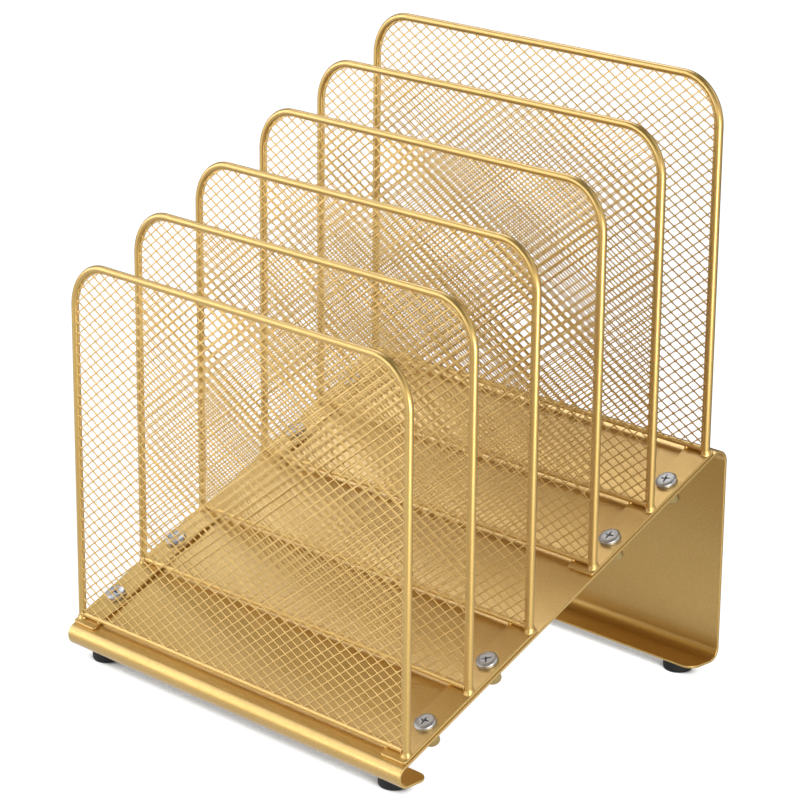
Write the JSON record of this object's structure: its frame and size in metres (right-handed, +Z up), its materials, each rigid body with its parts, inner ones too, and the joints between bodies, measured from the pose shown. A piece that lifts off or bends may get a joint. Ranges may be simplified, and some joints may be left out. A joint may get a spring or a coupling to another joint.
{
  "type": "desk file organizer",
  "caption": "Stepped desktop file organizer with upright diamond-mesh dividers on a sloping bent-steel deck, open at both sides, standing on rubber feet.",
  "frame": {"origin": "on the floor, under the middle of the whole object", "axes": "+Z up, +X to the object's right, -Y to its front, where the deck is lowest"},
  "size_m": [0.254, 0.24, 0.3251],
  "materials": {
    "gold_powder_coat": "satin gold powder coat on steel",
    "zinc_plate": "bright zinc-plated screw",
    "yellow_zinc": "yellow passivated zinc nut",
    "black_rubber": "matt moulded rubber"
  },
  "bodies": {
    "root": {"base_sheet": "gold_powder_coat", "foot_front_left": "black_rubber", "foot_front_right": "black_rubber", "foot_rear_left": "black_rubber", "foot_rear_right": "black_rubber", "side_strip_front_left": "gold_powder_coat", "side_strip_front_right": "gold_powder_coat", "side_strip_rear_left": "gold_powder_coat", "side_strip_rear_right": "gold_powder_coat", "divider_1_frame": "gold_powder_coat", "divider_1_bottom_wire": "gold_powder_coat", "divider_1_mesh": "gold_powder_coat", "divider_2_frame": "gold_powder_coat", "divider_2_bottom_wire": "gold_powder_coat", "divider_2_mesh": "gold_powder_coat", "divider_3_frame": "gold_powder_coat", "divider_3_bottom_wire": "gold_powder_coat", "divider_3_mesh": "gold_powder_coat", "divider_4_frame": "gold_powder_coat", "divider_4_bottom_wire": "gold_powder_coat", "divider_4_mesh": "gold_powder_coat", "divider_5_frame": "gold_powder_coat", "divider_5_bottom_wire": "gold_powder_coat", "divider_5_mesh": "gold_powder_coat", "divider_6_frame": "gold_powder_coat", "divider_6_bottom_wire": "gold_powder_coat", "divider_6_mesh": "gold_powder_coat", "screw_left_1": "zinc_plate", "nut_left_1": "yellow_zinc", "screw_right_1": "zinc_plate", "nut_right_1": "yellow_zinc", "screw_left_2": "zinc_plate", "nut_left_2": "yellow_zinc", "screw_right_2": "zinc_plate", "nut_right_2": "yellow_zinc", "screw_left_3": "zinc_plate", "nut_left_3": "yellow_zinc", "screw_right_3": "zinc_plate", "nut_right_3": "yellow_zinc", "screw_left_4": "zinc_plate", "nut_left_4": "yellow_zinc", "screw_right_4": "zinc_plate", "nut_right_4": "yellow_zinc"}
  },
  "joints": []
}
